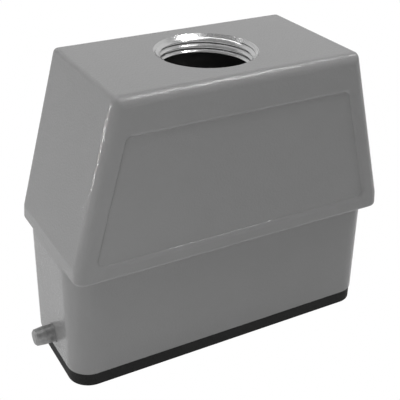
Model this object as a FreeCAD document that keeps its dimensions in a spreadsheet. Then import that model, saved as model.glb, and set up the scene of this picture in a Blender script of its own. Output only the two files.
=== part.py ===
import FreeCAD, Part
import os
import re
import Sketcher

# Cable-side hood of a heavy-duty rectangular power connector, with its 24-way pin insert.
# X runs along the hood, Y across it and Z up. The origin is the centre of the seal's underside.
# All sizes are in millimetres.

DRIVING_SIZES = [
    # Lower skirt of the casting
    ("skirt_length", 121.0),
    ("skirt_width", 42.5),
    ("skirt_corner", 8.2),
    ("skirt_lean", 0.25),
    ("rim_radius", 0.5),
    ("seal_height", 4.8),
    ("wall", 3.2),
    # Wide upper tier of the casting
    ("ledge_height", 45.3),
    ("ledge_overhang", 5.5),
    ("crease_rise", 5.8),
    ("crease_lean", 0.5),
    ("hood_height", 107.0),
    ("roof_lean", 15.25),
    ("face_radius", 3.5),
    ("roof_end_radius", 1.8),
    ("ledge_radius", 1.6),
    ("core_radius", 1.4),
    # Sunk panel on each long side
    ("panel_side_border", 6.8),
    ("panel_top_border", 13.0),
    ("panel_bottom_border", 5.9),
    ("panel_depth", 0.9),
    ("panel_corner", 2.2),
    ("panel_round", 2.0),
    ("panel_round_margin", 0.4),
    # Threaded cable entry in the roof
    ("entry_bore", 33.2),
    ("entry_chamfer", 1.05),
    ("entry_depth", 7.0),
    ("entry_collar", 3.4),
    # Locking pegs, riveted through the end walls
    ("peg_rise", 6.2),
    ("peg_diameter", 6.6),
    ("peg_reach", 7.2),
    ("peg_land", 3.4),
    ("peg_taper", 0.3),
    ("peg_chamfer", 0.6),
    ("peg_shoulder", 0.8),
    ("peg_rivet_overlap", 1.0),
    ("peg_rivet_height", 1.0),
    ("peg_boss_margin", 0.4),
    ("peg_boss_height", 0.3),
    # Rim seal
    ("seal_inset", 0.3),
    ("seal_lip", 0.85),
    ("seal_lip_gap", 0.3),
    # Insert flange and its four corner fixings, 104 by 27 apart
    ("flange_end_gap", 1.8),
    ("flange_side_gap", 1.05),
    ("flange_corner", 3.5),
    ("fixing_inset", 3.5),
    ("flange_base", 20.0),
    ("flange_thickness", 4.0),
    ("plinth_height", 2.0),
    ("plinth_margin", 1.0),
    ("pillar_radius", 4.6),
    ("pillar_height", 20.0),
    ("fixing_screw", 4.0),
    ("fixing_screw_length", 16.0),
    ("fixing_tip_room", 2.0),
    ("fixing_head", 7.0),
    ("fixing_head_height", 2.8),
    ("screw_slot_width", 1.0),
    ("screw_slot_depth", 1.1),
    # Contacts and their screw terminals
    ("pin_columns", 12),
    ("block_to_fixing", 6.6),
    ("row_spacing", 15.0),
    ("pin_diameter", 2.5),
    ("pin_length", 11.0),
    ("pin_tip", 0.7),
    ("pin_tip_length", 1.4),
    ("clamp_length", 5.0),
    ("clamp_depth", 6.0),
    ("clamp_height", 14.0),
    ("clamp_mouth", 3.0),
    ("clamp_mouth_depth", 9.0),
    ("clamp_screw", 3.0),
    ("clamp_screw_length", 3.6),
    ("clamp_screw_drop", 5.0),
    ("terminal_floor", 2.0),
    ("terminal_wall", 2.2),
    ("retainer_thickness", 3.0),
    # Sheet-metal earth brackets at both ends of the insert
    ("earth_sheet", 1.5),
    ("earth_foot_margin", 3.0),
    ("earth_tab_width", 9.0),
    ("earth_tab_height", 10.0),
    ("earth_screw", 4.0),
    ("earth_screw_rise", 6.0),
    ("earth_screw_head", 7.0),
    ("earth_screw_head_height", 2.4),
    ("earth_washer", 8.0),
    ("earth_washer_thickness", 1.0),
    # Clearances
    ("fit", 0.05),
    ("running_gap", 0.15),
    ("through_hole_gap", 0.3),
]

doc = FreeCAD.newDocument("rectangular_connector")
sheet = doc.addObject("Spreadsheet::Sheet", "Sizes")
for row, (alias, size) in enumerate(DRIVING_SIZES, start=1):
    sheet.set("A%d" % row, alias)
    sheet.set("B%d" % row, str(size))
    sheet.setAlias("B%d" % row, alias)
doc.recompute()

ALIASES = {alias for alias, size in DRIVING_SIZES}

# Places that several pieces share, as formulas of the driving sizes
CREASE_HEIGHT = "(ledge_height + crease_rise)"
SKIRT_SLOPE = "(skirt_lean / (ledge_height - seal_height))"
END_SLOPE = "(roof_lean / (hood_height - %s))" % CREASE_HEIGHT
SLOPE_STRETCH = "sqrt(1 + %s ^ 2)" % END_SLOPE
LEDGE_HALF = "(skirt_length / 2 - skirt_lean)"
CREASE_HALF = "(%s - crease_lean)" % LEDGE_HALF
UPPER_HALF_WIDTH = "(skirt_width / 2 + ledge_overhang)"
ENTRY_MOUTH_RADIUS = "(entry_bore / 2 + entry_chamfer)"
PEG_LEVEL = "(seal_height + peg_rise)"
PEG_FACE = "(skirt_length / 2 - %s * peg_rise)" % SKIRT_SLOPE
PEG_NECK_RADIUS = "(peg_diameter / 2 - peg_shoulder)"
PEG_RIVET_RADIUS = "(%s + peg_rivet_overlap)" % PEG_NECK_RADIUS
SEAL_WIDTH = "(wall + running_gap + seal_lip)"
PANEL_ROUND_RUN = "(panel_round - sqrt(panel_round ^ 2 - (panel_round - panel_depth) ^ 2))"
FLANGE_HALF_LONG = "(skirt_length / 2 - wall - flange_end_gap)"
FLANGE_HALF_CROSS = "(skirt_width / 2 - wall - flange_side_gap)"
FIXING_X = "(%s - fixing_inset)" % FLANGE_HALF_LONG
FIXING_Y = "(%s - fixing_inset)" % FLANGE_HALF_CROSS
FLANGE_TOP = "(flange_base + flange_thickness)"
BRACKET_TOP = "(%s + earth_sheet)" % FLANGE_TOP
CLAMP_SEAT = "(flange_base + terminal_floor)"
BLOCK_TOP = "(%s + clamp_height + running_gap)" % CLAMP_SEAT
SCREW_LEVEL = "(%s + clamp_height - clamp_screw_drop)" % CLAMP_SEAT
BLOCK_HALF_LONG = "(%s - block_to_fixing)" % FIXING_X
BLOCK_HALF_CROSS = "(row_spacing / 2 + clamp_depth / 2 + terminal_wall)"
FIRST_COLUMN = "(terminal_wall + clamp_length / 2 - %s)" % BLOCK_HALF_LONG
PIN_PITCH = "(-2 * %s / (pin_columns - 1))" % FIRST_COLUMN
TAB_FACE = "(%s + running_gap + earth_sheet)" % BLOCK_HALF_LONG
EARTH_SCREW_LEVEL = "(%s + earth_screw_rise)" % BRACKET_TOP


def formula(text):
    """Write a formula of size names as the sheet's own expression."""
    def name(match):
        word = match.group(0)
        return "Sizes." + word if word in ALIASES else word
    return re.sub(r"[a-z_]+", name, text)


def number(text):
    """Work out the present value of a formula of size names."""
    return float(sheet.evalExpression(formula(text)))


def bind(feature, **formulas):
    """Tie each named property of a feature to its formula."""
    for prop, text in formulas.items():
        feature.setExpression(prop.replace("__", "."), formula(text))


def place(feature, x="0", y="0", z="0"):
    """Tie a feature's position to three formulas."""
    bind(feature, Placement__Base__x=x, Placement__Base__y=y, Placement__Base__z=z)


# Primitives and booleans

def box(name, x, y, z):
    """Block between the two formulas of each axis."""
    block = doc.addObject("Part::Box", name)
    bind(
        block,
        Length="(%s) - (%s)" % (x[1], x[0]),
        Width="(%s) - (%s)" % (y[1], y[0]),
        Height="(%s) - (%s)" % (z[1], z[0]),
    )
    place(block, x[0], y[0], z[0])
    return block


def cylinder(name, radius, length, x="0", y="0", z="0", along="Z"):
    """Round bar from a point, along +Z, +X, -X, +Y or -Y."""
    turns = {
        "Z": FreeCAD.Rotation(),
        "X": FreeCAD.Rotation(FreeCAD.Vector(0, 1, 0), 90),
        "-X": FreeCAD.Rotation(FreeCAD.Vector(0, 1, 0), -90),
        "Y": FreeCAD.Rotation(FreeCAD.Vector(1, 0, 0), -90),
        "-Y": FreeCAD.Rotation(FreeCAD.Vector(1, 0, 0), 90),
    }
    bar = doc.addObject("Part::Cylinder", name)
    bar.Placement = FreeCAD.Placement(FreeCAD.Vector(), turns[along])
    bind(bar, Radius=radius, Height=length)
    place(bar, x, y, z)
    return bar


def union(name, pieces):
    joined = doc.addObject("Part::MultiFuse", name)
    joined.Shapes = pieces
    joined.Refine = True
    return joined


def cut(name, base, tool):
    rest = doc.addObject("Part::Cut", name)
    rest.Base = base
    rest.Tool = tool
    rest.Refine = True
    return rest


def group(name, pieces):
    """One node that holds several separate solids."""
    together = doc.addObject("Part::Compound", name)
    together.Links = pieces
    return together


# PartDesign bodies

def new_body(name):
    return doc.addObject("PartDesign::Body", name)


def origin_item(body, role):
    return next(item for item in body.Origin.OriginFeatures if item.Role == role)


def sketch_on(body, name, role, level="0"):
    """Empty sketch on one of the body's own planes, lifted along the plane's normal."""
    sketch = body.newObject("Sketcher::SketchObject", name)
    sketch.AttachmentSupport = (origin_item(body, role), [""])
    sketch.MapMode = "FlatFace"
    bind(sketch, AttachmentOffset__Base__z=level)
    return sketch


def pin_point(sketch, edge, end, x, y):
    """Hold one end of a sketch edge, or a circle's centre, at two formulas."""
    for kind, text in (("DistanceX", x), ("DistanceY", y)):
        constraint = Sketcher.Constraint(kind, -1, 1, edge, end, number(text))
        index = sketch.addConstraint(constraint)
        sketch.setExpression("Constraints[%d]" % index, formula(text))


def draw_outline(sketch, corners):
    """Closed outline through corners, each a pair of formulas."""
    points = [FreeCAD.Vector(number(x), number(y), 0) for x, y in corners]
    first = sketch.GeometryCount
    for index, start in enumerate(points):
        end = points[(index + 1) % len(points)]
        sketch.addGeometry(Part.LineSegment(start, end), False)
    for index, (x, y) in enumerate(corners):
        following = first + (index + 1) % len(points)
        sketch.addConstraint(Sketcher.Constraint("Coincident", first + index, 2, following, 1))
        pin_point(sketch, first + index, 1, x, y)


def draw_circle(sketch, x, y, radius):
    centre = FreeCAD.Vector(number(x), number(y), 0)
    circle = Part.Circle(centre, FreeCAD.Vector(0, 0, 1), number(radius))
    edge = sketch.addGeometry(circle, False)
    pin_point(sketch, edge, 3, x, y)
    index = sketch.addConstraint(Sketcher.Constraint("Radius", edge, number(radius)))
    sketch.setExpression("Constraints[%d]" % index, formula(radius))


def round_corners(sketch, radius):
    """Round every corner of a sketch that holds one outline; the sharp corners stay as guides."""
    corner_count = sketch.GeometryCount
    for corner in range(corner_count):
        sketch.fillet(corner, 1, number(radius), True, True)
    for edge, curve in enumerate(sketch.Geometry):
        if curve.TypeId == "Part::GeomArcOfCircle":
            index = sketch.addConstraint(Sketcher.Constraint("Radius", edge, number(radius)))
            sketch.setExpression("Constraints[%d]" % index, formula(radius))


def mirrored_outline(right_side):
    """Corners of an outline that is the same on both sides of the vertical axis."""
    left_side = [("-(%s)" % x, y) for x, y in reversed(right_side)]
    return right_side + left_side


def rectangle(x, y):
    return [(x[0], y[0]), (x[1], y[0]), (x[1], y[1]), (x[0], y[1])]


def pad(body, name, sketch, length, symmetric=False, reverse=False):
    feature = body.newObject("PartDesign::Pad", name)
    feature.Profile = sketch
    feature.Reversed = reverse
    if symmetric:
        feature.SideType = "Symmetric"
    bind(feature, Length=length)
    doc.recompute()
    return feature


def pocket(body, name, sketch, depth, reverse=False):
    feature = body.newObject("PartDesign::Pocket", name)
    feature.Profile = sketch
    feature.Reversed = reverse
    bind(feature, Length=depth)
    doc.recompute()
    return feature


def revolve(body, name, sketch, axis="V_Axis"):
    feature = body.newObject("PartDesign::Revolution", name)
    feature.Profile = sketch
    feature.ReferenceAxis = (sketch, [axis])
    feature.Angle = 360
    doc.recompute()
    return feature


def row_of(body, name, feature, pitch, count):
    """Repeat a feature along +X."""
    pattern = body.newObject("PartDesign::LinearPattern", name)
    pattern.Originals = [feature]
    pattern.Direction = (origin_item(body, "X_Axis"), [""])
    bind(pattern, Length="%s * (%s - 1)" % (pitch, count), Occurrences=count)
    body.Tip = pattern
    doc.recompute()
    return pattern


def round_edges(body, name, chosen, radius):
    """Fillet the edges of the body's last feature that a test picks out."""
    last = body.Tip
    edges = [
        "Edge%d" % index
        for index, edge in enumerate(last.Shape.Edges, start=1)
        if chosen(edge.BoundBox)
    ]
    fillet = body.newObject("PartDesign::Fillet", name)
    fillet.Base = (last, edges)
    bind(fillet, Radius=radius)
    doc.recompute()
    return fillet


def is_upright(bounds):
    return bounds.ZLength > 1.0


def lies_at(level):
    """Test for edges that lie wholly at one height."""
    def test(bounds):
        return bounds.ZLength < 1e-4 and abs(bounds.ZMin - level) < 1e-4
    return test


# Casting: outside

def hood_profile(offset):
    """Right half of the tall outline seen from the front, inset by a wall."""
    inset = "(%s)" % offset
    return {
        "rim": "(skirt_length / 2 - %s)" % inset,
        "ledge": "(%s - %s)" % (LEDGE_HALF, inset),
        "crease": "(%s - %s)" % (CREASE_HALF, inset),
        "top_height": "(hood_height - %s)" % inset,
        "top": "(%s - roof_lean + (%s - %s) * %s)" % (CREASE_HALF, END_SLOPE, SLOPE_STRETCH, inset),
    }


def skirt_block(name, offset, start, corner):
    """Rounded-rectangular lower tier, with ends that lean in slightly up to the crease."""
    side = hood_profile(offset)
    right = [
        (side["rim"], start),
        (side["ledge"], "ledge_height"),
        (side["crease"], CREASE_HEIGHT),
    ]
    body = new_body(name)
    sketch = sketch_on(body, name + "_profile", "XZ_Plane")
    draw_outline(sketch, mirrored_outline(right))
    pad(body, name + "_pad", sketch, "skirt_width - 2 * (%s)" % offset, symmetric=True)
    round_edges(body, name + "_corners", is_upright, corner)
    return body


def upper_block(name, offset, start, start_half, roof_corner, face_corner):
    """Wide upper tier: short steep ends up to a crease, then ends that slope in to the roof."""
    side = hood_profile(offset)
    half_width = "(%s - %s)" % (UPPER_HALF_WIDTH, offset)
    right = [
        (start_half, start),
        (side["crease"], CREASE_HEIGHT),
        (side["top"], side["top_height"]),
    ]
    body = new_body(name)
    sketch = sketch_on(body, name + "_profile", "XZ_Plane")
    draw_outline(sketch, mirrored_outline(right))
    pad(body, name + "_pad", sketch, "2 * %s" % half_width, symmetric=True)

    at_roof = lies_at(number(side["top_height"]))
    at_start = lies_at(number(start))
    face = number(half_width)

    def is_roof_end(bounds):
        return at_roof(bounds) and bounds.YLength > 1.0

    def borders_a_long_face(bounds):
        flat = bounds.YLength < 1e-4 and abs(abs(bounds.YMin) - face) < 1e-4
        return flat and not at_start(bounds)

    round_edges(body, name + "_roof_ends", is_roof_end, roof_corner)
    round_edges(body, name + "_faces", borders_a_long_face, face_corner)
    return body


def hood_outside():
    skirt = skirt_block("skirt_outside", "0", "seal_height", "skirt_corner")
    round_edges(skirt, "skirt_rim", lies_at(number("seal_height")), "rim_radius")
    upper = upper_block(
        "upper_outside", "0", "ledge_height", LEDGE_HALF, "roof_end_radius", "face_radius"
    )
    round_edges(upper, "upper_ledge", lies_at(number("ledge_height")), "ledge_radius")
    bosses = cylinder(
        "peg_bosses",
        "peg_diameter / 2 + peg_boss_margin",
        "2 * (%s + peg_boss_height)" % PEG_FACE,
        x="-(%s + peg_boss_height)" % PEG_FACE,
        z=PEG_LEVEL,
        along="X",
    )
    return union("hood_outside", [skirt, upper, bosses])


# Casting: cavity, with the pillars and the entry collar left standing in it

def pillar(name, x_sign, y_sign):
    """Corner post that takes one fixing screw; its outer half runs into the walls."""
    x_far = "(skirt_length / 2)"
    y_far = "(skirt_width / 2)"
    levels = (BRACKET_TOP, "%s + pillar_height" % BRACKET_TOP)

    def span(sign, near, far):
        return (near, far) if sign > 0 else ("-" + far, "-" + near)

    post = cylinder(
        name + "_post",
        "pillar_radius",
        "pillar_height",
        x=FIXING_X if x_sign > 0 else "-" + FIXING_X,
        y=FIXING_Y if y_sign > 0 else "-" + FIXING_Y,
        z=BRACKET_TOP,
    )
    end_web = box(
        name + "_end_web",
        span(x_sign, FIXING_X, x_far),
        span(y_sign, "(%s - pillar_radius)" % FIXING_Y, y_far),
        levels,
    )
    side_web = box(
        name + "_side_web",
        span(x_sign, "(%s - pillar_radius)" % FIXING_X, x_far),
        span(y_sign, FIXING_Y, y_far),
        levels,
    )
    return [post, end_web, side_web]


def hood_cavity():
    skirt = skirt_block(
        "skirt_cavity", "wall", "(seal_height - running_gap)", "skirt_corner - wall"
    )
    start = "(ledge_height + wall)"
    start_half = "(%s - wall * crease_lean / crease_rise - wall)" % LEDGE_HALF
    upper = upper_block("upper_cavity", "wall", start, start_half, "core_radius", "core_radius")
    hollow = union("hollow", [skirt, upper])
    standing = [
        cylinder(
            "entry_collar_post",
            "entry_bore / 2 + entry_collar",
            "entry_depth",
            z="hood_height - entry_depth",
        )
    ]
    for x_sign in (-1, 1):
        for y_sign in (-1, 1):
            name = "pillar_%d" % (1 + (x_sign > 0) + 2 * (y_sign > 0))
            standing += pillar(name, x_sign, y_sign)
    return cut("hood_cavity", hollow, union("cavity_pillars", standing))


def entry_cutter():
    """Round tool for the cable entry: bore at the thread's root, and a turned mouth."""
    body = new_body("entry_cutter")
    sketch = sketch_on(body, "entry_cutter_profile", "XZ_Plane")
    draw_outline(
        sketch,
        [
            ("0", "hood_height - entry_depth - wall"),
            ("entry_bore / 2", "hood_height - entry_depth - wall"),
            ("entry_bore / 2", "hood_height - entry_chamfer"),
            (ENTRY_MOUTH_RADIUS, "hood_height"),
            (ENTRY_MOUTH_RADIUS, "hood_height + wall"),
            ("0", "hood_height + wall"),
        ],
    )
    revolve(body, "entry_cutter_turn", sketch)
    return body


def panel_cutter(name, y_sign):
    """Shallow trapezium along a long face's outline, with a border that rolls in to its floor."""
    bottom = "(ledge_height + panel_bottom_border + %s)" % PANEL_ROUND_RUN
    top = "(hood_height - panel_top_border - %s)" % PANEL_ROUND_RUN
    margin = "(panel_round + panel_round_margin)"

    def corners(grow):
        """Right half of the sunk block's outline, grown by a margin."""
        right = []
        for level in ("(%s - %s)" % (bottom, grow), "(%s + %s)" % (top, grow)):
            sloped = "%s - %s * (%s - %s)" % (CREASE_HALF, END_SLOPE, level, CREASE_HEIGHT)
            border = "(panel_side_border + %s - %s)" % (PANEL_ROUND_RUN, grow)
            right.append(("(%s - %s * %s)" % (sloped, border, SLOPE_STRETCH), level))
        return right

    body = new_body(name + "_block")
    level = UPPER_HALF_WIDTH if y_sign < 0 else "-" + UPPER_HALF_WIDTH
    slab = sketch_on(body, name + "_slab_profile", "XZ_Plane", level)
    draw_outline(slab, mirrored_outline(corners(margin)))
    pad(body, name + "_slab", slab, "wall", reverse=y_sign > 0)
    sunk = sketch_on(body, name + "_sunk_profile", "XZ_Plane", level)
    draw_outline(sunk, mirrored_outline(corners("0")))
    round_corners(sunk, "panel_corner - %s" % PANEL_ROUND_RUN)
    pad(body, name + "_sunk", sunk, "2 * panel_round", reverse=y_sign < 0)

    face = number(UPPER_HALF_WIDTH) * y_sign
    lowest = number(bottom)
    highest = number(top)

    def joins_the_slab(bounds):
        flat = bounds.YLength < 1e-4 and abs(bounds.YMin - face) < 1e-4
        return flat and bounds.ZMin > lowest - 1e-4 and bounds.ZMax < highest + 1e-4

    round_edges(body, name + "_border", joins_the_slab, "panel_round")
    floor = "(%s - panel_depth)" % UPPER_HALF_WIDTH
    beyond = box(
        name + "_beyond",
        ("-skirt_length / 2", "skirt_length / 2"),
        ("-" + floor, "0") if y_sign < 0 else ("0", floor),
        ("ledge_height", "hood_height"),
    )
    return cut(name, body, beyond)


def hood_shell():
    outside = hood_outside()
    peg_hole = cylinder(
        "peg_hole",
        "%s + fit" % PEG_NECK_RADIUS,
        "2 * skirt_length",
        x="-skirt_length",
        z=PEG_LEVEL,
        along="X",
    )
    tools = [hood_cavity(), entry_cutter(), peg_hole]
    for index, (x, y) in enumerate(fixing_places(), start=1):
        tools.append(
            cylinder(
                "fixing_hole_%d" % index,
                "fixing_screw / 2 + fit",
                "flange_base + fixing_screw_length + fixing_tip_room - %s + wall" % BRACKET_TOP,
                x=x,
                y=y,
                z="%s - wall" % BRACKET_TOP,
            )
        )
    bored = cut("hood_bored", outside, union("hood_tools", tools))
    front = cut("hood_front_panel", bored, panel_cutter("front_panel", -1))
    return cut("hood_shell", front, panel_cutter("back_panel", 1))


def fixing_places():
    """Centres of the four corner fixings."""
    return [
        ("-" + FIXING_X, "-" + FIXING_Y),
        (FIXING_X, "-" + FIXING_Y),
        (FIXING_X, FIXING_Y),
        ("-" + FIXING_X, FIXING_Y),
    ]


# Rim seal

def rounded_ring(name, level, height, outer, inner, outer_corner, inner_corner):
    """Upright ring between two rounded rectangles, each given by its insets from the skirt."""
    def half(inset):
        return "(skirt_length / 2 - (%s))" % inset, "(skirt_width / 2 - (%s))" % inset

    def solid(part, inset, corner):
        long_half, cross_half = half(inset)
        block = new_body(name + part)
        sketch = sketch_on(block, name + part + "_profile", "XY_Plane", level)
        draw_outline(
            sketch,
            rectangle(("-" + long_half, long_half), ("-" + cross_half, cross_half)),
        )
        pad(block, name + part + "_pad", sketch, height)
        round_edges(block, name + part + "_corners", is_upright, corner)
        return block

    return cut(name, solid("_outer", outer, outer_corner), solid("_inner", inner, inner_corner))


def rim_seal():
    """Rubber ring under the rim, with a lip that stands inside the wall."""
    inner_corner = "skirt_corner - %s" % SEAL_WIDTH
    foot = rounded_ring(
        "seal_foot",
        "0",
        "seal_height",
        "seal_inset",
        SEAL_WIDTH,
        "skirt_corner - seal_inset",
        inner_corner,
    )
    lip = rounded_ring(
        "seal_lip",
        "seal_height - running_gap",
        "peg_rise - %s - seal_lip_gap + running_gap" % PEG_RIVET_RADIUS,
        "wall + running_gap",
        SEAL_WIDTH,
        "skirt_corner - wall - running_gap",
        inner_corner,
    )
    return union("rim_seal", [foot, lip])


# Locking pegs

def locking_peg(name, turn):
    """Turned peg with a tapered tip; its neck is riveted over inside the end wall."""
    body = new_body(name)
    sketch = sketch_on(body, name + "_profile", "XZ_Plane")
    shoulder = "peg_boss_height"
    rivet_seat = "(-wall - fit)"
    draw_outline(
        sketch,
        [
            ("%s - peg_rivet_height" % rivet_seat, "0"),
            ("peg_reach", "0"),
            ("peg_reach", "peg_diameter / 2 - peg_taper - peg_chamfer"),
            ("peg_reach - peg_chamfer", "peg_diameter / 2 - peg_taper"),
            ("peg_boss_height + peg_land", "peg_diameter / 2"),
            (shoulder, "peg_diameter / 2"),
            (shoulder, PEG_NECK_RADIUS),
            (rivet_seat, PEG_NECK_RADIUS),
            (rivet_seat, PEG_RIVET_RADIUS),
            ("%s - peg_rivet_height" % rivet_seat, PEG_RIVET_RADIUS),
        ],
    )
    revolve(body, name + "_turn", sketch, "H_Axis")
    body.Placement = FreeCAD.Placement(
        FreeCAD.Vector(), FreeCAD.Rotation(FreeCAD.Vector(0, 0, 1), turn)
    )
    side = "" if turn == 0 else "-"
    place(body, x=side + PEG_FACE, z=PEG_LEVEL)
    return body


# Insulating insert

def insert_body():
    """Moulded carrier: flange, pin plinth below and terminal block above, with a seat per contact."""
    body = new_body("insert_body")
    flange = sketch_on(body, "flange_profile", "XY_Plane", "flange_base")
    draw_outline(
        flange,
        rectangle(
            ("-" + FLANGE_HALF_LONG, FLANGE_HALF_LONG),
            ("-" + FLANGE_HALF_CROSS, FLANGE_HALF_CROSS),
        ),
    )
    pad(body, "flange_pad", flange, "flange_thickness")
    round_edges(body, "flange_corners", is_upright, "flange_corner")

    long_half = BLOCK_HALF_LONG
    cross_half = BLOCK_HALF_CROSS
    block = sketch_on(body, "block_profile", "XY_Plane", FLANGE_TOP)
    draw_outline(
        block, rectangle(("-" + long_half, long_half), ("-" + cross_half, cross_half))
    )
    pad(body, "block_pad", block, "%s - %s" % (BLOCK_TOP, FLANGE_TOP))

    plinth = sketch_on(body, "plinth_profile", "XY_Plane", "flange_base")
    plinth_long = "(%s - plinth_margin)" % long_half
    plinth_cross = "(%s - plinth_margin)" % cross_half
    draw_outline(
        plinth, rectangle(("-" + plinth_long, plinth_long), ("-" + plinth_cross, plinth_cross))
    )
    pad(body, "plinth_pad", plinth, "plinth_height", reverse=True)

    fixings = sketch_on(body, "fixing_profile", "XY_Plane", FLANGE_TOP)
    for x, y in fixing_places():
        draw_circle(fixings, x, y, "fixing_screw / 2 + through_hole_gap")
    pocket(body, "fixing_pocket", fixings, "flange_thickness + plinth_height")

    seats = sketch_on(body, "seat_profile", "XY_Plane", BLOCK_TOP)
    for y in ("-row_spacing / 2", "row_spacing / 2"):
        draw_outline(
            seats,
            rectangle(
                (
                    "%s - clamp_length / 2 - running_gap" % FIRST_COLUMN,
                    "%s + clamp_length / 2 + running_gap" % FIRST_COLUMN,
                ),
                (
                    "%s - clamp_depth / 2 - running_gap" % y,
                    "%s + clamp_depth / 2 + running_gap" % y,
                ),
            ),
        )
    seat = pocket(body, "seat_pocket", seats, "%s - %s" % (BLOCK_TOP, CLAMP_SEAT))
    row_of(body, "seat_row", seat, PIN_PITCH, "pin_columns")

    holes = sketch_on(body, "pin_hole_profile", "XY_Plane", CLAMP_SEAT)
    for y in ("-row_spacing / 2", "row_spacing / 2"):
        draw_circle(holes, FIRST_COLUMN, y, "pin_diameter / 2 + running_gap")
    hole = pocket(body, "pin_hole_pocket", holes, "terminal_floor + plinth_height + wall")
    row_of(body, "pin_hole_row", hole, PIN_PITCH, "pin_columns")

    # Open notches in the side walls give a screwdriver its way to the terminal screws.
    notch_half = "(clamp_screw / 2 + through_hole_gap)"
    notch_floor = "(%s - %s)" % (SCREW_LEVEL, notch_half)
    notches = sketch_on(body, "notch_profile", "XY_Plane", BLOCK_TOP)
    for inner, outer in (
        ("-row_spacing / 2 - clamp_depth / 2", "-%s - wall" % cross_half),
        ("row_spacing / 2 + clamp_depth / 2", "%s + wall" % cross_half),
    ):
        draw_outline(
            notches,
            rectangle(
                ("%s - %s" % (FIRST_COLUMN, notch_half), "%s + %s" % (FIRST_COLUMN, notch_half)),
                (inner, outer),
            ),
        )
    notch = pocket(body, "notch_pocket", notches, "%s - %s" % (BLOCK_TOP, notch_floor))
    row_of(body, "notch_row", notch, PIN_PITCH, "pin_columns")
    place(body)
    return body


def insert_retainer():
    """Moulded lid that keeps the contacts in their seats, with one wire way per contact."""
    body = new_body("insert_retainer")
    lid = sketch_on(body, "retainer_profile", "XY_Plane")
    draw_outline(
        lid,
        rectangle(
            ("-" + BLOCK_HALF_LONG, BLOCK_HALF_LONG), ("-" + BLOCK_HALF_CROSS, BLOCK_HALF_CROSS)
        ),
    )
    pad(body, "retainer_pad", lid, "retainer_thickness")
    round_edges(body, "retainer_corners", is_upright, "terminal_wall / 2")
    ways = sketch_on(body, "wire_way_profile", "XY_Plane", "retainer_thickness")
    for y in ("-row_spacing / 2", "row_spacing / 2"):
        draw_outline(
            ways,
            rectangle(
                ("%s - clamp_mouth / 2" % FIRST_COLUMN, "%s + clamp_mouth / 2" % FIRST_COLUMN),
                ("%s - clamp_mouth / 2" % y, "%s + clamp_mouth / 2" % y),
            ),
        )
    way = pocket(body, "wire_way_pocket", ways, "retainer_thickness + wall")
    row_of(body, "wire_way_row", way, PIN_PITCH, "pin_columns")
    place(body, z=BLOCK_TOP)
    return body


# Contacts

def contact_pin(name, column, y_sign):
    """Brass contact: round pin below, square screw clamp above, seated on the clamp's underside."""
    body = new_body(name)
    clamp = sketch_on(body, name + "_clamp_profile", "XY_Plane")
    draw_outline(
        clamp,
        rectangle(("-clamp_length / 2", "clamp_length / 2"), ("-clamp_depth / 2", "clamp_depth / 2")),
    )
    pad(body, name + "_clamp", clamp, "clamp_height")

    mouth = sketch_on(body, name + "_mouth_profile", "XY_Plane", "clamp_height")
    draw_outline(
        mouth,
        rectangle(("-clamp_mouth / 2", "clamp_mouth / 2"), ("-clamp_mouth / 2", "clamp_mouth / 2")),
    )
    pocket(body, name + "_mouth", mouth, "clamp_mouth_depth")

    stem = "terminal_floor + plinth_height + pin_length"
    profile = sketch_on(body, name + "_pin_profile", "XZ_Plane")
    draw_outline(
        profile,
        [
            ("0", "running_gap"),
            ("0", "-(%s)" % stem),
            ("pin_diameter / 2 - pin_tip", "-(%s)" % stem),
            ("pin_diameter / 2", "-(%s) + pin_tip_length" % stem),
            ("pin_diameter / 2", "running_gap"),
        ],
    )
    revolve(body, name + "_pin", profile)

    # The XZ plane's own normal is -Y, so the tapped hole starts at the outer face of the clamp.
    thread = sketch_on(body, name + "_thread_profile", "XZ_Plane", "clamp_depth / 2")
    draw_circle(thread, "0", "clamp_height - clamp_screw_drop", "clamp_screw / 2 + fit")
    pocket(body, name + "_thread", thread, "clamp_depth / 2")

    turn = 0 if y_sign < 0 else 180
    body.Placement = FreeCAD.Placement(
        FreeCAD.Vector(), FreeCAD.Rotation(FreeCAD.Vector(0, 0, 1), turn)
    )
    place(
        body,
        x="%s + %s * %d" % (FIRST_COLUMN, PIN_PITCH, column),
        y="row_spacing / 2 * %d" % y_sign,
        z=CLAMP_SEAT,
    )
    return body


def slotted_screw(name, head, head_height, shank, shank_length, x, y, z, along):
    """Screw with its head at the given point; the shank runs on from the head."""
    ahead = {"Z": (0, 0, 1), "X": (1, 0, 0), "-X": (-1, 0, 0)}[along]
    seat = [
        "%s + (%s) * %d" % (start, head_height, step)
        for start, step in zip((x, y, z), ahead)
    ]
    cap = cylinder(name + "_head", head + " / 2", head_height, x, y, z, along)
    stem = cylinder(name + "_shank", shank + " / 2", shank_length, *seat, along)
    half = "(%s / 2 + fit)" % head
    slot_half = "(screw_slot_width / 2)"
    far = ["%s + screw_slot_depth * %d" % (start, step) for start, step in zip((x, y, z), ahead)]
    if along == "Z":
        slot = box(
            name + "_slot",
            ("%s - %s" % (x, half), "%s + %s" % (x, half)),
            ("%s - %s" % (y, slot_half), "%s + %s" % (y, slot_half)),
            ("%s - fit" % z, far[2]),
        )
    else:
        span = (far[0], "%s + fit" % x) if along == "-X" else ("%s - fit" % x, far[0])
        slot = box(
            name + "_slot",
            span,
            ("%s - %s" % (y, half), "%s + %s" % (y, half)),
            ("%s - %s" % (z, slot_half), "%s + %s" % (z, slot_half)),
        )
    return cut(name, union(name + "_blank", [cap, stem]), slot)


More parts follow.
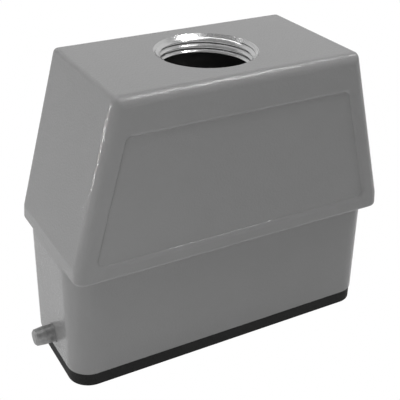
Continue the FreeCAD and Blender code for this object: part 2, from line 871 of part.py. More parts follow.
def terminal_screws():
    """Grub screws that clamp the wires, one in each contact."""
    screws = []
    for y_sign in (-1, 1):
        for column in range(int(number("pin_columns"))):
            screws.append(
                cylinder(
                    "terminal_screw_%02d" % (len(screws) + 1),
                    "clamp_screw / 2",
                    "clamp_screw_length",
                    x="%s + %s * %d" % (FIRST_COLUMN, PIN_PITCH, column),
                    y="(row_spacing / 2 + clamp_mouth / 2 - running_gap) * %d" % y_sign,
                    z=SCREW_LEVEL,
                    along="Y" if y_sign > 0 else "-Y",
                )
            )
    return group("terminal_screws", screws)


def fixing_screws():
    """Captive screws that hold the insert's flange up against the hood's pillars."""
    screws = []
    for index, (x, y) in enumerate(fixing_places(), start=1):
        screws.append(
            slotted_screw(
                "fixing_screw_%d" % index,
                "fixing_head",
                "fixing_head_height",
                "fixing_screw",
                "fixing_screw_length",
                x,
                y,
                "(flange_base - fixing_head_height)",
                "Z",
            )
        )
    return group("fixing_screws", screws)


# Earth brackets

def earth_bracket(name, turn):
    """Bent sheet: a foot clamped between flange and pillars, and a tab for the earth wire."""
    body = new_body(name)
    start = "(%s - earth_sheet)" % TAB_FACE
    foot = sketch_on(body, name + "_foot_profile", "XY_Plane")
    draw_outline(
        foot,
        rectangle(
            (start, "%s + earth_foot_margin" % FIXING_X),
            ("-%s - earth_foot_margin" % FIXING_Y, "%s + earth_foot_margin" % FIXING_Y),
        ),
    )
    for y in ("-" + FIXING_Y, FIXING_Y):
        draw_circle(foot, FIXING_X, y, "fixing_screw / 2 + running_gap")
    pad(body, name + "_foot", foot, "earth_sheet")

    tab = sketch_on(body, name + "_tab_profile", "XY_Plane")
    draw_outline(tab, rectangle((start, TAB_FACE), ("-earth_tab_width / 2", "earth_tab_width / 2")))
    pad(body, name + "_tab", tab, "earth_sheet + earth_tab_height")

    tapped = sketch_on(body, name + "_tapped_profile", "YZ_Plane", "%s + wall" % TAB_FACE)
    draw_circle(
        tapped, "0", "%s - %s" % (EARTH_SCREW_LEVEL, FLANGE_TOP), "earth_screw / 2 + fit"
    )
    pocket(body, name + "_tapped", tapped, "2 * wall")
    body.Placement = FreeCAD.Placement(
        FreeCAD.Vector(), FreeCAD.Rotation(FreeCAD.Vector(0, 0, 1), turn)
    )
    place(body, z=FLANGE_TOP)
    return body


def earth_screws():
    """Wire clamp screw on each bracket's tab."""
    length = "(earth_washer_thickness + earth_sheet)"
    screws = []
    for name, sign, along in (("earth_screw_left", "-", "X"), ("earth_screw_right", "", "-X")):
        head = "(%s + earth_washer_thickness + earth_screw_head_height)" % TAB_FACE
        screws.append(
            slotted_screw(
                name,
                "earth_screw_head",
                "earth_screw_head_height",
                "earth_screw",
                length,
                sign + head,
                "0",
                EARTH_SCREW_LEVEL,
                along,
            )
        )
    return group("earth_screws", screws)


def earth_washers():
    """Square clamp washers between each tab and its screw head."""
    half = "(earth_washer / 2)"
    washers = []
    for name, side in (("earth_washer_left", -1), ("earth_washer_right", 1)):
        near = TAB_FACE
        far = "(%s + earth_washer_thickness)" % TAB_FACE
        plate = box(
            name + "_plate",
            (near, far) if side > 0 else ("-" + far, "-" + near),
            ("-" + half, half),
            ("%s - %s" % (EARTH_SCREW_LEVEL, half), "%s + %s" % (EARTH_SCREW_LEVEL, half)),
        )
        hole = cylinder(
            name + "_hole",
            "earth_screw / 2 + fit",
            "2 * (%s + wall)" % far,
            x="-(%s + wall)" % far,
            z=EARTH_SCREW_LEVEL,
            along="X",
        )
        washers.append(cut(name, plate, hole))
    return group("earth_washers", washers)


# Assembly

nodes = [
    hood_shell(),
    rim_seal(),
    locking_peg("locking_peg_left", 180),
    locking_peg("locking_peg_right", 0),
    insert_body(),
    insert_retainer(),
    earth_bracket("earth_bracket_left", 180),
    earth_bracket("earth_bracket_right", 0),
    earth_screws(),
    earth_washers(),
    fixing_screws(),
    terminal_screws(),
]
contacts = [(column, y_sign) for y_sign in (-1, 1) for column in range(int(number("pin_columns")))]
for position, (column, y_sign) in enumerate(contacts, start=1):
    nodes.append(contact_pin("contact_pin_%02d" % position, column, y_sign))

doc.recompute()

for item in doc.Objects:
    if "Invalid" in item.State or "Error" in item.State:
        raise RuntimeError("%s is %s" % (item.Name, item.State))
for node in nodes:
    if node.Shape.isNull() or not node.Shape.isValid():
        raise RuntimeError("%s has no valid shape" % node.Label)

os.makedirs("parts", exist_ok=True)
for node in nodes:
    node.Shape.exportStep("parts/%s.step" % node.Label)
    print(node.Label, len(node.Shape.Solids), "solids", round(node.Shape.Volume, 1), "mm3")
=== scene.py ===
import math

import bmesh
import bpy
from mathutils import Matrix, Quaternion, Vector


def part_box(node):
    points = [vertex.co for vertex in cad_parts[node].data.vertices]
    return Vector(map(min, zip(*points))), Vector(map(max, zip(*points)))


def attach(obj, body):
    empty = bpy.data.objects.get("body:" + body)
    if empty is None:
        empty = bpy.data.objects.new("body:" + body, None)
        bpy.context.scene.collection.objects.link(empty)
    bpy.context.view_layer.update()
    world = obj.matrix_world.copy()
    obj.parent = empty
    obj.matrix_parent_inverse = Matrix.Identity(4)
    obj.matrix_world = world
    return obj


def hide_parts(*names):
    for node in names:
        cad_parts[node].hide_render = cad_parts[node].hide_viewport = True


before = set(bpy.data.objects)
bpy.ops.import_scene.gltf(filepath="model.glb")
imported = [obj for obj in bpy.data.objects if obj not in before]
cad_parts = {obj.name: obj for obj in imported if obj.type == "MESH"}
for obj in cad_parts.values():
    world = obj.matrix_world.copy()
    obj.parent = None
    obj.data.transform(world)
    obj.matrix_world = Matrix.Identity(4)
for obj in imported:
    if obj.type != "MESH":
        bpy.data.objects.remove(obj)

# Grey powder-coated hood of a heavy-duty rectangular connector, on a pale floor.
# All lengths are in metres; MM turns millimetres into metres.

MM = 0.001
QUARTER_TURN = math.pi / 2.0
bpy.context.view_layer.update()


# Node building blocks

class NodeBench:
    """Makes nodes in one tree, and links a socket or sets a value at an input."""

    def __init__(self, tree):
        self.tree = tree
        self.tree.nodes.clear()

    def node(self, kind, inputs=None, **settings):
        made = self.tree.nodes.new(kind)
        for name, value in settings.items():
            setattr(made, name, value)
        for name, value in (inputs or {}).items():
            self.feed(made.inputs[name], value)
        return made

    def feed(self, socket, value):
        if isinstance(value, bpy.types.NodeSocket):
            self.tree.links.new(value, socket)
        else:
            socket.default_value = value

    def math(self, operation, *values):
        made = self.node("ShaderNodeMath", operation=operation)
        for socket, value in zip(made.inputs, values):
            self.feed(socket, value)
        return made.outputs[0]


class Shading(NodeBench):
    """One node material."""

    def __init__(self, name):
        self.material = bpy.data.materials.new(name)
        self.material.use_nodes = True
        super().__init__(self.material.node_tree)
        self.output = self.node("ShaderNodeOutputMaterial")

    def place(self):
        """Place on the piece itself, in metres."""
        return self.node("ShaderNodeTexCoord").outputs["Object"]

    def stretched(self, place, scale):
        return self.node("ShaderNodeMapping", {"Vector": place, "Scale": scale}).outputs[0]

    def noise(self, place, scale, detail=2.0, roughness=0.5):
        texture = self.node(
            "ShaderNodeTexNoise",
            {"Vector": place, "Scale": scale, "Detail": detail, "Roughness": roughness},
        )
        return texture.outputs[0]

    def mapped(self, value, low, high, to_low, to_high):
        """Straight-line change of range, held at its ends."""
        made = self.node(
            "ShaderNodeMapRange",
            {
                "Value": value,
                "From Min": low,
                "From Max": high,
                "To Min": to_low,
                "To Max": to_high,
            },
        )
        return made.outputs[0]

    def mixed(self, factor, first, second):
        made = self.node("ShaderNodeMix", data_type="RGBA")
        self.feed(made.inputs["Factor"], factor)
        self.feed(made.inputs[6], first)
        self.feed(made.inputs[7], second)
        return made.outputs[2]

    def bump(self, height, distance):
        return self.node("ShaderNodeBump", {"Height": height, "Distance": distance}).outputs[0]

    def finish(self, **sockets):
        """Principled surface with the given sockets, as the material's result."""
        surface = self.node("ShaderNodeBsdfPrincipled")
        for name, value in sockets.items():
            self.feed(surface.inputs[name.replace("_", " ")], value)
        self.tree.links.new(surface.outputs[0], self.output.inputs["Surface"])
        return self.material


def grey(level):
    return (level, level, level, 1.0)


# Cable entry: the sizes of its turned mouth and of its thread

ENTRY_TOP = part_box("hood_shell")[1].z
ENTRY_MOUTH_RADIUS = 17.65 * MM
THREAD_ROOT_RADIUS = 16.6 * MM
THREAD_DEPTH = 1.1 * MM
THREAD_PITCH = 2.1 * MM
THREAD_TURNS = 3.5
THREAD_START = ENTRY_TOP - 7.6 * MM
THREAD_START_TURN = math.radians(180.7)
ENTRY_DEPTH = 7.0 * MM
LEAD_IN_SLOPE = 1.6
SKIN = 0.02 * MM  # how far a grown face keeps off the casting's own face


# Finishes

PAINT_GREY = 0.27


def bare_entry(shading, place):
    """1 on the bare turned mouth and bore of the cable entry, 0 on the paint round it."""
    axes = shading.node("ShaderNodeSeparateXYZ", {"Vector": place}).outputs
    across = shading.math("MULTIPLY", axes["X"], axes["X"])
    along = shading.math("MULTIPLY", axes["Y"], axes["Y"])
    radius = shading.math("SQRT", shading.math("ADD", across, along))
    inside = shading.math("LESS_THAN", radius, ENTRY_MOUTH_RADIUS + SKIN)
    near_roof = shading.math("GREATER_THAN", axes["Z"], ENTRY_TOP - ENTRY_DEPTH - 0.2 * MM)
    return shading.math("MULTIPLY", inside, near_roof)


def powder_coat():
    """Textured grey powder coat: the orange peel shows most in its glossy top layer."""
    coat = Shading("powder_coat")
    place = coat.place()
    peel = coat.noise(place, 1400.0, 1.0)
    grain = coat.noise(place, 3000.0, 2.0, 0.6)
    tone = coat.noise(place, 60.0, 3.0)
    paint = coat.mixed(tone, grey(PAINT_GREY * 0.97), grey(PAINT_GREY * 1.03))
    bare = bare_entry(coat, place)
    rough = coat.mapped(grain, 0.3, 0.7, 0.42, 0.54)
    return coat.finish(
        Base_Color=coat.mixed(bare, paint, grey(0.8)),
        Metallic=bare,
        Roughness=coat.mapped(bare, 0.0, 1.0, rough, 0.2),
        Normal=coat.bump(peel, 0.03 * MM),
        Specular_IOR_Level=0.0,
        Coat_Weight=1.0,
        Coat_Roughness=0.06,
        Coat_Normal=coat.bump(peel, 0.14 * MM),
    )


def cut_metal():
    """Bare casting metal where the cable entry is turned and threaded."""
    metal = Shading("cut_metal")
    place = metal.place()
    scratches = metal.noise(metal.stretched(place, (1.0, 1.0, 14.0)), 500.0, 3.0)
    stains = metal.noise(place, 260.0, 2.0)
    colour = metal.mixed(stains, grey(0.78), grey(0.92))
    rough = metal.mapped(scratches, 0.3, 0.7, 0.1, 0.24)
    return metal.finish(
        Base_Color=colour,
        Metallic=1.0,
        Roughness=rough,
        Normal=metal.bump(scratches, 0.02 * MM),
    )


def seal_rubber():
    """Matt black rubber with a faint bloom."""
    rubber = Shading("seal_rubber")
    place = rubber.place()
    grain = rubber.noise(place, 1800.0, 3.0)
    bloom = rubber.noise(place, 90.0, 3.0)
    colour = rubber.mixed(bloom, grey(0.009), grey(0.014))
    return rubber.finish(
        Base_Color=colour,
        Specular_IOR_Level=0.25,
        Roughness=rubber.mapped(grain, 0.3, 0.7, 0.6, 0.75),
        Normal=rubber.bump(grain, 0.02 * MM),
    )


RINGS_PER_MM = 3.0


def turned_steel(name, level, ring_axis, roughness=0.36):
    """Plated steel with the fine rings that turning leaves across an axis."""
    steel = Shading(name)
    place = steel.place()
    squash = [0.02, 0.02, 0.02]
    squash["XYZ".index(ring_axis)] = 1.0
    rings = steel.noise(steel.stretched(place, squash), RINGS_PER_MM / MM, 2.0)
    cloud = steel.noise(place, 700.0, 3.0)
    patches = steel.mapped(cloud, 0.3, 0.7, 0.0, 1.0)
    colour = steel.mixed(patches, grey(level * 0.75), grey(level * 1.25))
    return steel.finish(
        Base_Color=colour,
        Metallic=1.0,
        Roughness=steel.mapped(cloud, 0.3, 0.7, roughness - 0.06, roughness + 0.08),
        Normal=steel.bump(rings, 0.01 * MM),
    )


def plated_sheet():
    """Zinc-plated sheet with a faint rolling grain."""
    sheet = Shading("plated_sheet")
    place = sheet.place()
    rolling = sheet.noise(sheet.stretched(place, (1.0, 0.06, 1.0)), 1500.0, 2.0)
    cloud = sheet.noise(place, 150.0, 3.0)
    return sheet.finish(
        Base_Color=sheet.mixed(cloud, grey(0.5), grey(0.62)),
        Metallic=1.0,
        Roughness=sheet.mapped(rolling, 0.3, 0.7, 0.3, 0.42),
        Normal=sheet.bump(rolling, 0.008 * MM),
    )


def insert_plastic():
    """Light grey moulded insulating plastic with a fine spark-eroded skin."""
    plastic = Shading("insert_plastic")
    place = plastic.place()
    skin = plastic.noise(place, 2600.0, 2.0)
    flow = plastic.noise(place, 70.0, 3.0)
    return plastic.finish(
        Base_Color=plastic.mixed(flow, (0.5, 0.5, 0.47, 1.0), (0.56, 0.56, 0.53, 1.0)),
        Roughness=plastic.mapped(skin, 0.3, 0.7, 0.44, 0.56),
        Normal=plastic.bump(skin, 0.015 * MM),
    )


def contact_silver():
    """Silver plating over turned brass, a little tarnished."""
    silver = Shading("contact_silver")
    place = silver.place()
    rings = silver.noise(silver.stretched(place, (0.05, 0.05, 1.0)), 3000.0, 2.0)
    tarnish = silver.noise(place, 200.0, 3.0)
    return silver.finish(
        Base_Color=silver.mixed(tarnish, (0.78, 0.75, 0.68, 1.0), (0.88, 0.87, 0.84, 1.0)),
        Metallic=1.0,
        Roughness=silver.mapped(tarnish, 0.3, 0.7, 0.16, 0.28),
        Normal=silver.bump(rings, 0.006 * MM),
    )


FINISHES = {
    "hood_shell": powder_coat(),
    "rim_seal": seal_rubber(),
    "locking_peg": turned_steel("peg_steel", 0.36, "X", roughness=0.42),
    "insert": insert_plastic(),
    "contact_pin": contact_silver(),
    "earth_bracket": plated_sheet(),
    "earth_washers": plated_sheet(),
    "screw": turned_steel("screw_steel", 0.55, "Z"),
}


def dress(node_name):
    """Give a CAD node the finish whose key its name holds."""
    for key, finish in FINISHES.items():
        if key in node_name:
            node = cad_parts[node_name]
            node.data.materials.clear()
            node.data.materials.append(finish)
            return
    raise RuntimeError("no finish for " + node_name)


for node_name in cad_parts:
    dress(node_name)


# Pieces that are grown by geometry nodes

class Making(NodeBench):
    """A geometry-node recipe with named settings, which makes one mesh piece at a time."""

    def __init__(self, name):
        super().__init__(bpy.data.node_groups.new(name, "GeometryNodeTree"))
        self.tree.interface.new_socket(
            "Geometry", in_out="OUTPUT", socket_type="NodeSocketGeometry"
        )
        self.entry = self.tree.nodes.new("NodeGroupInput")
        self.result = self.tree.nodes.new("NodeGroupOutput")
        self.settings = {}

    def setting(self, name):
        """The recipe's own input of that name."""
        socket = self.tree.interface.new_socket(
            name, in_out="INPUT", socket_type="NodeSocketFloat"
        )
        self.settings[name] = socket.identifier
        return self.entry.outputs[name]

    def vector(self, x=0.0, y=0.0, z=0.0):
        return self.node("ShaderNodeCombineXYZ", {"X": x, "Y": y, "Z": z}).outputs[0]

    def moved(self, geometry, offset, turn=(0.0, 0.0, 0.0)):
        made = self.node(
            "GeometryNodeTransform",
            {"Geometry": geometry, "Translation": offset, "Rotation": turn},
        )
        return made.outputs[0]

    def joined(self, *pieces):
        made = self.node("GeometryNodeJoinGeometry")
        for piece in pieces:
            self.tree.links.new(piece, made.inputs[0])
        return made.outputs[0]

    def close(self, geometry, material):
        """Merge doubled points, make instances real, and give the piece its finish."""
        real = self.node("GeometryNodeRealizeInstances", {"Geometry": geometry}).outputs[0]
        merged = self.node(
            "GeometryNodeMergeByDistance", {"Geometry": real, "Distance": MERGED}
        ).outputs[0]
        dressed = self.node("GeometryNodeSetMaterial", {"Geometry": merged, "Material": material})
        self.tree.links.new(dressed.outputs[0], self.result.inputs[0])

    def make(self, name, **values):
        """Run the recipe once, and keep its result as a plain mesh object."""
        blank = bpy.data.objects.new(name + "_recipe", bpy.data.meshes.new(name + "_recipe"))
        bpy.context.scene.collection.objects.link(blank)
        modifier = blank.modifiers.new("recipe", "NODES")
        modifier.node_group = self.tree
        for setting, value in values.items():
            modifier[self.settings[setting.replace("_", " ")]] = value
        blank.update_tag()
        ready = blank.evaluated_get(bpy.context.evaluated_depsgraph_get())
        mesh = bpy.data.meshes.new_from_object(ready)
        bpy.data.objects.remove(blank)
        piece = bpy.data.objects.new(name, mesh)
        bpy.context.scene.collection.objects.link(piece)
        return piece


def turn_outward(piece):
    """Make every closed shell of a mesh face outward."""
    shells = bmesh.new()
    shells.from_mesh(piece.data)
    bmesh.ops.recalc_face_normals(shells, faces=shells.faces)
    shells.to_mesh(piece.data)
    shells.free()


def smooth_below(piece, angle):
    """Shade smoothly, but keep edges sharper than the angle crisp."""
    mesh = piece.data
    mesh.shade_smooth()
    mesh.set_sharp_from_angle(angle=math.radians(angle))


ENTRY_THREAD_STEPS = 96
SCREW_THREAD_STEPS = 24
SCREW_SIDES = 48
MERGED = 0.002 * MM  # points nearer than this are one point
CRISP_THREAD = 35.0
CRISP_SCREW = 30.0

# Proportions of a thread ridge: heights per depth, widths per pitch, fades per turn
RIDGE_HEIGHT = 1.1
RIDGE_LIFT = 0.45
RIDGE_FOOT = 0.98
RIDGE_CREST = 0.1
RIDGE_ROUND = 0.03
FADE_RATE = 3.0
FADED_SIZE = 0.03


def helical_ridge(making, radius, depth, pitch, turns, steps, outward=False):
    """Closed right-hand thread ridge round Z, from height 0 upward; it fades in and out."""
    spiral = making.node(
        "GeometryNodeCurveSpiral",
        {
            "Resolution": steps,
            "Rotations": turns,
            "Start Radius": radius,
            "End Radius": radius,
            "Height": making.math("MULTIPLY", pitch, turns),
            "Reverse": True,
        },
    ).outputs[0]
    upright = making.node("GeometryNodeSetCurveNormal", {"Curve": spiral}, mode="Z_UP").outputs[0]
    along = making.node("GeometryNodeSplineParameter").outputs["Factor"]
    left = making.math("MULTIPLY", making.math("SUBTRACT", 1.0, along), turns)
    nearest = making.math("MINIMUM", making.math("MULTIPLY", along, turns), left)
    rising = making.math("MINIMUM", making.math("MULTIPLY", nearest, FADE_RATE), 1.0)
    fade = making.math("MAXIMUM", rising, FADED_SIZE)
    section = making.node(
        "GeometryNodeCurvePrimitiveQuadrilateral",
        {
            "Height": making.math("MULTIPLY", depth, RIDGE_HEIGHT),
            "Bottom Width": making.math("MULTIPLY", pitch, RIDGE_FOOT),
            "Top Width": making.math("MULTIPLY", pitch, RIDGE_CREST),
            "Offset": 0.0,
        },
        mode="TRAPEZOID",
    ).outputs[0]
    rounded = making.node(
        "GeometryNodeFilletCurve",
        {"Curve": section, "Count": 1, "Radius": making.math("MULTIPLY", pitch, RIDGE_ROUND)},
        mode="POLY",
    ).outputs[0]
    lift = making.math("MULTIPLY", depth, RIDGE_LIFT)
    turned = making.moved(rounded, making.vector(y=lift))
    side = math.radians(-90.0 if outward else 90.0)
    profile = making.moved(turned, (0.0, 0.0, 0.0), (0.0, 0.0, side))
    return making.node(
        "GeometryNodeCurveToMesh",
        {"Curve": upright, "Profile Curve": profile, "Scale": fade, "Fill Caps": True},
    ).outputs[0]


def entry_thread(material):
    """Thread ridge of the cable entry, cut back to a flat cone where it leads in at the mouth."""
    making = Making("entry_thread")
    ridge = helical_ridge(
        making,
        making.setting("Root Radius"),
        making.setting("Depth"),
        making.setting("Pitch"),
        making.setting("Turns"),
        ENTRY_THREAD_STEPS,
    )
    start = making.vector(z=making.setting("Start Height"))
    raised = making.moved(ridge, start, (0.0, 0.0, THREAD_START_TURN))
    place = making.node("GeometryNodeInputPosition").outputs[0]
    axes = making.node("ShaderNodeSeparateXYZ", {"Vector": place}).outputs
    level = making.vector(axes["X"], axes["Y"])
    radius = making.node("ShaderNodeVectorMath", {0: level}, operation="LENGTH").outputs["Value"]
    slope = making.setting("Lead In Slope")
    cone = making.math("MULTIPLY_ADD", axes["Z"], slope, making.setting("Cone Offset"))
    grown = making.math("DIVIDE", making.math("MAXIMUM", radius, cone), radius)
    lowered = making.math("MINIMUM", axes["Z"], making.setting("Roof Height"))
    moved = making.vector(
        making.math("MULTIPLY", axes["X"], grown),
        making.math("MULTIPLY", axes["Y"], grown),
        making.math("MAXIMUM", lowered, making.setting("Bore End")),
    )
    clipped = making.node(
        "GeometryNodeSetPosition", {"Geometry": raised, "Position": moved}
    ).outputs[0]
    making.close(clipped, material)
    thread = making.make(
        "entry_thread",
        Root_Radius=THREAD_ROOT_RADIUS,
        Depth=THREAD_DEPTH,
        Pitch=THREAD_PITCH,
        Turns=THREAD_TURNS,
        Start_Height=THREAD_START,
        Roof_Height=ENTRY_TOP - SKIN,
        Bore_End=ENTRY_TOP - ENTRY_DEPTH + SKIN,
        Lead_In_Slope=LEAD_IN_SLOPE,
        Cone_Offset=ENTRY_MOUTH_RADIUS - LEAD_IN_SLOPE * ENTRY_TOP - SKIN,
    )
    turn_outward(thread)
    smooth_below(thread, CRISP_THREAD)
    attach(thread, "root")


SLOT_SUNK = 0.48  # middle of the cutter, in slot depths; it starts a little outside the head
BARE_TURNS = 1.2  # turns of a shank that its thread leaves bare, half at each end


def slotted_screws(node_name, material, rows, **sizes):
    """Slotted screws of one size in place of a CAD node's plain ones.

    Each row is the place of its first head, the step to the next, the count and the turn; unturned,
    a screw's head looks down and its shank runs up.
    """
    making = Making(node_name + "_recipe")
    head_radius = making.setting("Head Radius")
    head_height = making.setting("Head Height")
    bevel = making.setting("Bevel")
    shank_radius = making.setting("Shank Radius")
    shank_length = making.setting("Shank Length")
    depth = making.setting("Thread Depth")
    pitch = making.setting("Thread Pitch")
    slot_width = making.setting("Slot Width")
    slot_depth = making.setting("Slot Depth")

    def round_block(start, length, first_radius, last_radius):
        block = making.node(
            "GeometryNodeMeshCone",
            {
                "Vertices": SCREW_SIDES,
                "Radius Bottom": first_radius,
                "Radius Top": last_radius,
                "Depth": length,
            },
        ).outputs[0]
        return making.moved(block, making.vector(z=start))

    def united(*blocks):
        made = making.node("GeometryNodeMeshBoolean", operation="UNION", solver="EXACT")
        for block in blocks:
            making.tree.links.new(block, made.inputs["Mesh 2"])
        return made.outputs[0]

    def cut_away(block, tool):
        sides = {"Mesh 1": block, "Mesh 2": tool}
        made = making.node(
            "GeometryNodeMeshBoolean", sides, operation="DIFFERENCE", solver="EXACT"
        )
        return made.outputs[0]

    core_radius = making.math("SUBTRACT", shank_radius, depth)
    bevelled_radius = making.math("SUBTRACT", head_radius, bevel)
    full_height = making.math("SUBTRACT", head_height, bevel)
    edge = round_block(0.0, bevel, bevelled_radius, head_radius)
    cap = round_block(bevel, full_height, head_radius, head_radius)
    core_length = making.math("ADD", shank_length, bevel)
    core = round_block(full_height, core_length, core_radius, core_radius)
    blank = united(edge, cap, core)
    cut_length = making.math("MULTIPLY", head_radius, 3.0)
    cut_size = making.vector(cut_length, slot_width, slot_depth)
    cutter = making.node("GeometryNodeMeshCube", {"Size": cut_size}).outputs[0]
    sunk = making.vector(z=making.math("MULTIPLY", slot_depth, SLOT_SUNK))
    slotted = cut_away(blank, making.moved(cutter, sunk))

    turns = making.math("SUBTRACT", making.math("DIVIDE", shank_length, pitch), BARE_TURNS)
    ridge = helical_ridge(
        making, core_radius, depth, pitch, turns, SCREW_THREAD_STEPS, outward=True
    )
    rise = making.math("MULTIPLY_ADD", pitch, BARE_TURNS / 2.0, head_height)
    screw = making.joined(slotted, making.moved(ridge, making.vector(z=rise)))

    placed = []
    for first, step, count, turn in rows:
        points = making.node(
            "GeometryNodeMeshLine",
            {"Count": count, "Start Location": first, "Offset": step},
            mode="OFFSET",
        ).outputs[0]
        spread = making.node(
            "GeometryNodeInstanceOnPoints",
            {"Points": points, "Instance": screw, "Rotation": turn},
        )
        placed.append(spread.outputs[0])
    making.close(making.joined(*placed), material)
    screws = making.make(node_name + "_slotted", **sizes)
    turn_outward(screws)
    smooth_below(screws, CRISP_SCREW)
    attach(screws, "root")
    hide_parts(node_name)


WIDE_SCREW = {
    "Head_Radius": 3.5 * MM,
    "Bevel": 0.35 * MM,
    "Shank_Radius": 2.0 * MM,
    "Thread_Depth": 0.4 * MM,
    "Thread_Pitch": 0.7 * MM,
    "Slot_Width": 1.0 * MM,
    "Slot_Depth": 1.1 * MM,
}


def fixing_screws(material):
    """Four screws up through the corners of the insert's flange."""
    low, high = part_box("fixing_screws")
    radius = WIDE_SCREW["Head_Radius"]
    head_height = 2.8 * MM
    step = (high.x - low.x - 2.0 * radius, 0.0, 0.0)
    rows = [
        ((low.x + radius, y, low.z), step, 2, (0.0, 0.0, 0.0))
        for y in (low.y + radius, high.y - radius)
    ]
    slotted_screws(
        "fixing_screws",
        material,
        rows,
        Head_Height=head_height,
        Shank_Length=high.z - low.z - head_height,
        **WIDE_SCREW,
    )


def earth_screws(material):
    """One wire screw at each end, its head toward the hood's end wall."""
    low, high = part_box("earth_screws")
    level = (low.z + high.z) / 2.0
    alone = (0.0, 0.0, 0.0)
    rows = [
        ((low.x, 0.0, level), alone, 1, (QUARTER_TURN, 0.0, QUARTER_TURN)),
        ((high.x, 0.0, level), alone, 1, (QUARTER_TURN, 0.0, -QUARTER_TURN)),
    ]
    slotted_screws(
        "earth_screws",
        material,
        rows,
        Head_Height=2.4 * MM,
        Shank_Length=2.5 * MM,
        **WIDE_SCREW,
    )


def terminal_screws(material):
    """Two rows of grub screws, their slots toward the hood's long walls."""
    low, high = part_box("terminal_screws")
    radius = 1.5 * MM
    level = (low.z + high.z) / 2.0
    count = 12
    step = ((high.x - low.x - 2.0 * radius) / (count - 1), 0.0, 0.0)
    rows = [
        ((low.x + radius, low.y, level), step, count, (-QUARTER_TURN, 0.0, 0.0)),
        ((low.x + radius, high.y, level), step, count, (QUARTER_TURN, 0.0, 0.0)),
    ]
    slotted_screws(
        "terminal_screws",
        material,
        rows,
        Head_Radius=radius,
        Head_Height=1.0 * MM,
        Bevel=0.2 * MM,
        Shank_Radius=radius,
        Shank_Length=2.6 * MM,
        Thread_Depth=0.28 * MM,
        Thread_Pitch=0.5 * MM,
        Slot_Width=0.6 * MM,
        Slot_Depth=0.7 * MM,
    )


entry_thread(cut_metal())
fixing_screws(FINISHES["screw"])
earth_screws(FINISHES["screw"])
terminal_screws(FINISHES["screw"])


# Camera, at the photograph's own angle

CAMERA_PLACE = Vector((-132.641, -233.444, 198.785)) * MM
CAMERA_RIGHT = Vector((0.87618817, -0.48171644, 0.01560665))
CAMERA_UP = Vector((0.22182039, 0.43179107, 0.87427238))
CAMERA_AHEAD = Vector((0.42789018, 0.76256524, -0.48518475))
SENSOR = 36.0
FRAME_PIXELS = 400.0
FOCAL_PIXELS = 839.034


def photo_camera():
    data = bpy.data.cameras.new("photo_camera")
    data.sensor_width = SENSOR
    data.lens = SENSOR * FOCAL_PIXELS / FRAME_PIXELS
    data.shift_x = 0.0022
    data.shift_y = -0.00045
    data.clip_start = 0.01
    data.clip_end = 20.0
    camera = bpy.data.objects.new("photo_camera", data)
    bpy.context.scene.collection.objects.link(camera)
    turn = Matrix((CAMERA_RIGHT, CAMERA_UP, -CAMERA_AHEAD)).transposed()
    camera.matrix_world = Matrix.Translation(CAMERA_PLACE) @ turn.to_4x4()
    bpy.context.scene.camera = camera


# Studio

FLOOR_GREY = 0.8
FLOOR_HALF = 3.0

# What the glossy coat mirrors: levels, and the heights (0 to 1) between which the sky darkens
MIRRORED_FLOOR = 0.71
MIRRORED_HORIZON = 0.57
MIRRORED_OVERHEAD = 0.24
HORIZON_TOP = 0.55
OVERHEAD_START = 0.75


def pale_floor():
    """Floor that is plain white to look at, and matt paper to the light that falls on it."""
    mesh = bpy.data.meshes.new("floor")
    corners = [(x * FLOOR_HALF, y * FLOOR_HALF, 0) for x, y in ((-1, -1), (1, -1), (1, 1), (-1, 1))]
    mesh.from_pydata(corners, [], [(0, 1, 2, 3)])
    floor = bpy.data.objects.new("floor", mesh)
    bpy.context.scene.collection.objects.link(floor)
    paper = Shading("floor_paper")
    rays = paper.node("ShaderNodeLightPath").outputs
    seen = paper.math("MAXIMUM", rays["Is Camera Ray"], rays["Is Transmission Ray"])
    mirrored = rays["Is Glossy Ray"]
    glow = paper.math("ADD", seen, paper.math("MULTIPLY", mirrored, MIRRORED_FLOOR))
    matt = paper.node("ShaderNodeBsdfDiffuse", {"Color": grey(FLOOR_GREY)}).outputs[0]
    white = paper.node("ShaderNodeEmission", {"Strength": glow}).outputs[0]
    plain = paper.math("MAXIMUM", seen, mirrored)
    shown = paper.node("ShaderNodeMixShader", {0: plain, 1: matt, 2: white}).outputs[0]
    paper.feed(paper.output.inputs["Surface"], shown)
    mesh.materials.append(paper.material)


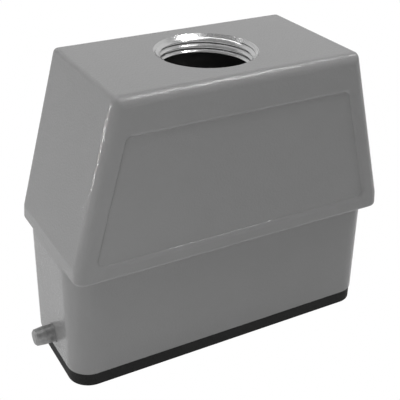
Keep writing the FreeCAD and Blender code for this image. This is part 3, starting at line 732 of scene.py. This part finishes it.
def white_surround(fill):
    """World that looks white, mirrors lighter low down than overhead, and fills in softly."""
    world = bpy.data.worlds.new("white_surround")
    world.use_nodes = True
    bpy.context.scene.world = world
    bench = NodeBench(world.node_tree)
    rays = bench.node("ShaderNodeLightPath").outputs
    direction = bench.node("ShaderNodeTexCoord").outputs["Generated"]
    height = bench.node("ShaderNodeSeparateXYZ", {0: direction}).outputs["Z"]
    mirrored = bench.node(
        "ShaderNodeMapRange",
        {
            "Value": height,
            "From Min": HORIZON_TOP,
            "From Max": OVERHEAD_START,
            "To Min": MIRRORED_HORIZON,
            "To Max": MIRRORED_OVERHEAD,
        },
    ).outputs[0]
    level = fill
    by_ray = (("Is Glossy Ray", mirrored), ("Is Transmission Ray", 1.0), ("Is Camera Ray", 1.0))
    for ray, value in by_ray:
        level = bench.node("ShaderNodeMix", {0: rays[ray], 2: level, 3: value}).outputs[0]
    light = bench.node("ShaderNodeBackground", {"Color": grey(1.0), "Strength": level})
    output = bench.node("ShaderNodeOutputWorld")
    bench.feed(output.inputs["Surface"], light.outputs[0])


def lamp(name, place, power, width, length, turn=0.0, mirrored=True, lighting=True):
    """Soft rectangular light that faces the object, turned about its own axis.

    It may be left out of the mirrored picture, or make glints only and light nothing.
    """
    data = bpy.data.lights.new(name, "AREA")
    data.shape = "RECTANGLE"
    data.size = width
    data.size_y = length
    data.energy = power
    light = bpy.data.objects.new(name, data)
    light.location = place
    light.rotation_mode = "QUATERNION"
    aimed = (OBJECT_MIDDLE - Vector(place)).to_track_quat("-Z", "Y")
    light.rotation_quaternion = aimed @ Quaternion((0.0, 0.0, 1.0), math.radians(turn))
    light.visible_glossy = mirrored
    light.visible_diffuse = lighting
    bpy.context.scene.collection.objects.link(light)


OBJECT_MIDDLE = Vector((0.0, 0.0, 60.0)) * MM

photo_camera()
pale_floor()
white_surround(0.08)
lamp("left_softbox", (-0.4, 0.22, 0.9), 2.4, 0.4, 0.8, mirrored=False)
lamp("right_softbox", (0.4, -0.1, 0.9), 5.4, 0.4, 0.8, mirrored=False)
lamp("left_strip", (-0.1, 0.055, 0.9), 0.8, 0.1, 1.2, -29.3)
lamp("right_strip", (0.179, -0.1, 0.9), 0.8, 0.13, 1.2, -29.3)
lamp("front_softbox", (-0.3, -0.2, 0.12), 0.29, 0.15, 0.15, mirrored=False)
lamp("back_left_lamp", (-0.7, 0.45, 0.04), 0.8, 0.05, 0.05)
lamp("ridge_strip", (0.46, -0.13, 0.94), 2.4, 0.54, 0.03, lighting=False)

scene = bpy.context.scene
scene.view_settings.view_transform = "Standard"
